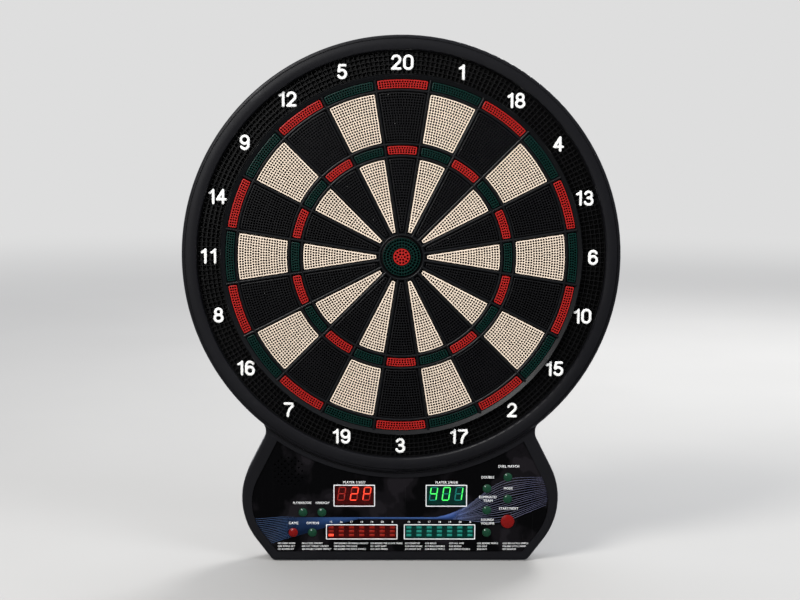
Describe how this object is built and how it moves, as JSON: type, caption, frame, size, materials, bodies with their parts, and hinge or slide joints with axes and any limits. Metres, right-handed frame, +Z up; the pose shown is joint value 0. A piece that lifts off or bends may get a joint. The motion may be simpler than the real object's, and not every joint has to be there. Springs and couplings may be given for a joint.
{
  "type": "electronic dartboard",
  "caption": "Wall-hung electronic dartboard: round target of sprung perforated segments in a black web, number ring and bezel, with a scoring console of buttons and LED displays below.",
  "frame": {"origin": "on the flat wall side of the rear cover, directly behind the bull's centre", "axes": "+Z up, +X to the right seen from the front, +Y out of the back into the wall, the target faces -Y"},
  "size_m": [0.428, 0.036, 0.5185],
  "materials": {
    "housing_black": "satin moulded black with a fine grain",
    "web_black": "satin moulded black",
    "key_black": "moulded black with dart holes",
    "key_cream": "moulded cream with dart holes",
    "key_red": "moulded red with dart holes",
    "key_green": "moulded dark green with dart holes",
    "fibreboard": "pressed fibreboard",
    "sensor_film": "clear polyester film with printed carbon tracks",
    "silicone": "grey silicone mat",
    "overlay_print": "glossy printed film, black with blue light trails",
    "circuit_board": "green solder mask",
    "chip_black": "moulded black",
    "speaker_frame": "black pressed steel with a paper cone",
    "cell_wrap": "plain wrapped cell",
    "plated_steel": "nickel plated",
    "screw_steel": "zinc plated",
    "window_red": "tinted clear acrylic",
    "window_green": "tinted clear acrylic",
    "led_red": "red display block",
    "led_green": "green display block",
    "button_green": "glossy dark green",
    "button_red": "glossy red"
  },
  "bodies": {
    "board": {"front_housing": "housing_black", "rear_cover": "housing_black", "catch_ring": "web_black", "spider": "web_black", "backing_board": "fibreboard", "membrane_lower": "sensor_film", "membrane_upper": "sensor_film", "return_pad": "silicone", "console_overlay": "overlay_print", "main_pcb": "circuit_board", "pcb_components": "chip_black", "tact_switches": "chip_black", "speaker": "speaker_frame", "dc_jack": "chip_black", "batteries": "cell_wrap", "battery_contacts": "plated_steel", "casing_screws": "screw_steel", "inner_screws": "screw_steel", "score_window_left": "window_red", "score_window_right": "window_green", "cricket_window_left": "window_red", "cricket_window_right": "window_green", "led_digits_left": "led_red", "led_digits_right": "led_green", "led_bars_left": "led_red", "led_bars_right": "led_green"},
    "segments_01": {"segments_01": "key_black"},
    "segments_02": {"segments_02": "key_cream"},
    "segments_03": {"segments_03": "key_black"},
    "segments_04": {"segments_04": "key_cream"},
    "segments_05": {"segments_05": "key_black"},
    "segments_06": {"segments_06": "key_cream"},
    "segments_07": {"segments_07": "key_black"},
    "segments_08": {"segments_08": "key_cream"},
    "segments_09": {"segments_09": "key_black"},
    "segments_10": {"segments_10": "key_cream"},
    "segments_11": {"segments_11": "key_black"},
    "segments_12": {"segments_12": "key_cream"},
    "segments_13": {"segments_13": "key_black"},
    "segments_14": {"segments_14": "key_cream"},
    "segments_15": {"segments_15": "key_black"},
    "segments_16": {"segments_16": "key_cream"},
    "segments_17": {"segments_17": "key_black"},
    "segments_18": {"segments_18": "key_cream"},
    "segments_19": {"segments_19": "key_black"},
    "segments_20": {"segments_20": "key_cream"},
    "bull_inner": {"bull_inner": "key_red"},
    "bull_outer": {"bull_outer": "key_green"},
    "button_player": {"button_player": "button_green"},
    "button_handicap": {"button_handicap": "button_green"},
    "button_game": {"button_game": "button_red"},
    "button_option": {"button_option": "button_green"},
    "button_match": {"button_match": "button_green"},
    "button_double": {"button_double": "button_green"},
    "button_master": {"button_master": "button_green"},
    "button_team": {"button_team": "button_green"},
    "button_start": {"button_start": "button_red"},
    "button_sound": {"button_sound": "button_green"},
    "battery_door": {"battery_door": "housing_black"}
  },
  "joints": [
    {"name": "segments_01_press", "type": "slide", "parent": "board", "child": "segments_01", "axis": [0, 1, 0], "range_m": [0, 0.0012], "stiffness_N_per_m": 900},
    {"name": "segments_02_press", "type": "slide", "parent": "board", "child": "segments_02", "axis": [0, 1, 0], "range_m": [0, 0.0012], "stiffness_N_per_m": 900},
    {"name": "segments_03_press", "type": "slide", "parent": "board", "child": "segments_03", "axis": [0, 1, 0], "range_m": [0, 0.0012], "stiffness_N_per_m": 900},
    {"name": "segments_04_press", "type": "slide", "parent": "board", "child": "segments_04", "axis": [0, 1, 0], "range_m": [0, 0.0012], "stiffness_N_per_m": 900},
    {"name": "segments_05_press", "type": "slide", "parent": "board", "child": "segments_05", "axis": [0, 1, 0], "range_m": [0, 0.0012], "stiffness_N_per_m": 900},
    {"name": "segments_06_press", "type": "slide", "parent": "board", "child": "segments_06", "axis": [0, 1, 0], "range_m": [0, 0.0012], "stiffness_N_per_m": 900},
    {"name": "segments_07_press", "type": "slide", "parent": "board", "child": "segments_07", "axis": [0, 1, 0], "range_m": [0, 0.0012], "stiffness_N_per_m": 900},
    {"name": "segments_08_press", "type": "slide", "parent": "board", "child": "segments_08", "axis": [0, 1, 0], "range_m": [0, 0.0012], "stiffness_N_per_m": 900},
    {"name": "segments_09_press", "type": "slide", "parent": "board", "child": "segments_09", "axis": [0, 1, 0], "range_m": [0, 0.0012], "stiffness_N_per_m": 900},
    {"name": "segments_10_press", "type": "slide", "parent": "board", "child": "segments_10", "axis": [0, 1, 0], "range_m": [0, 0.0012], "stiffness_N_per_m": 900},
    {"name": "segments_11_press", "type": "slide", "parent": "board", "child": "segments_11", "axis": [0, 1, 0], "range_m": [0, 0.0012], "stiffness_N_per_m": 900},
    {"name": "segments_12_press", "type": "slide", "parent": "board", "child": "segments_12", "axis": [0, 1, 0], "range_m": [0, 0.0012], "stiffness_N_per_m": 900},
    {"name": "segments_13_press", "type": "slide", "parent": "board", "child": "segments_13", "axis": [0, 1, 0], "range_m": [0, 0.0012], "stiffness_N_per_m": 900},
    {"name": "segments_14_press", "type": "slide", "parent": "board", "child": "segments_14", "axis": [0, 1, 0], "range_m": [0, 0.0012], "stiffness_N_per_m": 900},
    {"name": "segments_15_press", "type": "slide", "parent": "board", "child": "segments_15", "axis": [0, 1, 0], "range_m": [0, 0.0012], "stiffness_N_per_m": 900},
    {"name": "segments_16_press", "type": "slide", "parent": "board", "child": "segments_16", "axis": [0, 1, 0], "range_m": [0, 0.0012], "stiffness_N_per_m": 900},
    {"name": "segments_17_press", "type": "slide", "parent": "board", "child": "segments_17", "axis": [0, 1, 0], "range_m": [0, 0.0012], "stiffness_N_per_m": 900},
    {"name": "segments_18_press", "type": "slide", "parent": "board", "child": "segments_18", "axis": [0, 1, 0], "range_m": [0, 0.0012], "stiffness_N_per_m": 900},
    {"name": "segments_19_press", "type": "slide", "parent": "board", "child": "segments_19", "axis": [0, 1, 0], "range_m": [0, 0.0012], "stiffness_N_per_m": 900},
    {"name": "segments_20_press", "type": "slide", "parent": "board", "child": "segments_20", "axis": [0, 1, 0], "range_m": [0, 0.0012], "stiffness_N_per_m": 900},
    {"name": "bull_inner_press", "type": "slide", "parent": "board", "child": "bull_inner", "axis": [0, 1, 0], "range_m": [0, 0.0012], "stiffness_N_per_m": 900},
    {"name": "bull_outer_press", "type": "slide", "parent": "board", "child": "bull_outer", "axis": [0, 1, 0], "range_m": [0, 0.0012], "stiffness_N_per_m": 900},
    {"name": "button_player_press", "type": "slide", "parent": "board", "child": "button_player", "axis": [0, 1, 0], "range_m": [0, 0.001], "stiffness_N_per_m": 400},
    {"name": "button_handicap_press", "type": "slide", "parent": "board", "child": "button_handicap", "axis": [0, 1, 0], "range_m": [0, 0.001], "stiffness_N_per_m": 400},
    {"name": "button_game_press", "type": "slide", "parent": "board", "child": "button_game", "axis": [0, 1, 0], "range_m": [0, 0.001], "stiffness_N_per_m": 400},
    {"name": "button_option_press", "type": "slide", "parent": "board", "child": "button_option", "axis": [0, 1, 0], "range_m": [0, 0.001], "stiffness_N_per_m": 400},
    {"name": "button_match_press", "type": "slide", "parent": "board", "child": "button_match", "axis": [0, 1, 0], "range_m": [0, 0.001], "stiffness_N_per_m": 400},
    {"name": "button_double_press", "type": "slide", "parent": "board", "child": "button_double", "axis": [0, 1, 0], "range_m": [0, 0.001], "stiffness_N_per_m": 400},
    {"name": "button_master_press", "type": "slide", "parent": "board", "child": "button_master", "axis": [0, 1, 0], "range_m": [0, 0.001], "stiffness_N_per_m": 400},
    {"name": "button_team_press", "type": "slide", "parent": "board", "child": "button_team", "axis": [0, 1, 0], "range_m": [0, 0.001], "stiffness_N_per_m": 400},
    {"name": "button_start_press", "type": "slide", "parent": "board", "child": "button_start", "axis": [0, 1, 0], "range_m": [0, 0.001], "stiffness_N_per_m": 400},
    {"name": "button_sound_press", "type": "slide", "parent": "board", "child": "button_sound", "axis": [0, 1, 0], "range_m": [0, 0.001], "stiffness_N_per_m": 400},
    {"name": "battery_door_hinge", "type": "hinge", "parent": "board", "child": "battery_door", "pos_m": [-0.065, -0.0016, -0.2915], "axis": [-1, 0, 0], "range_deg": [0, 85]}
  ]
}
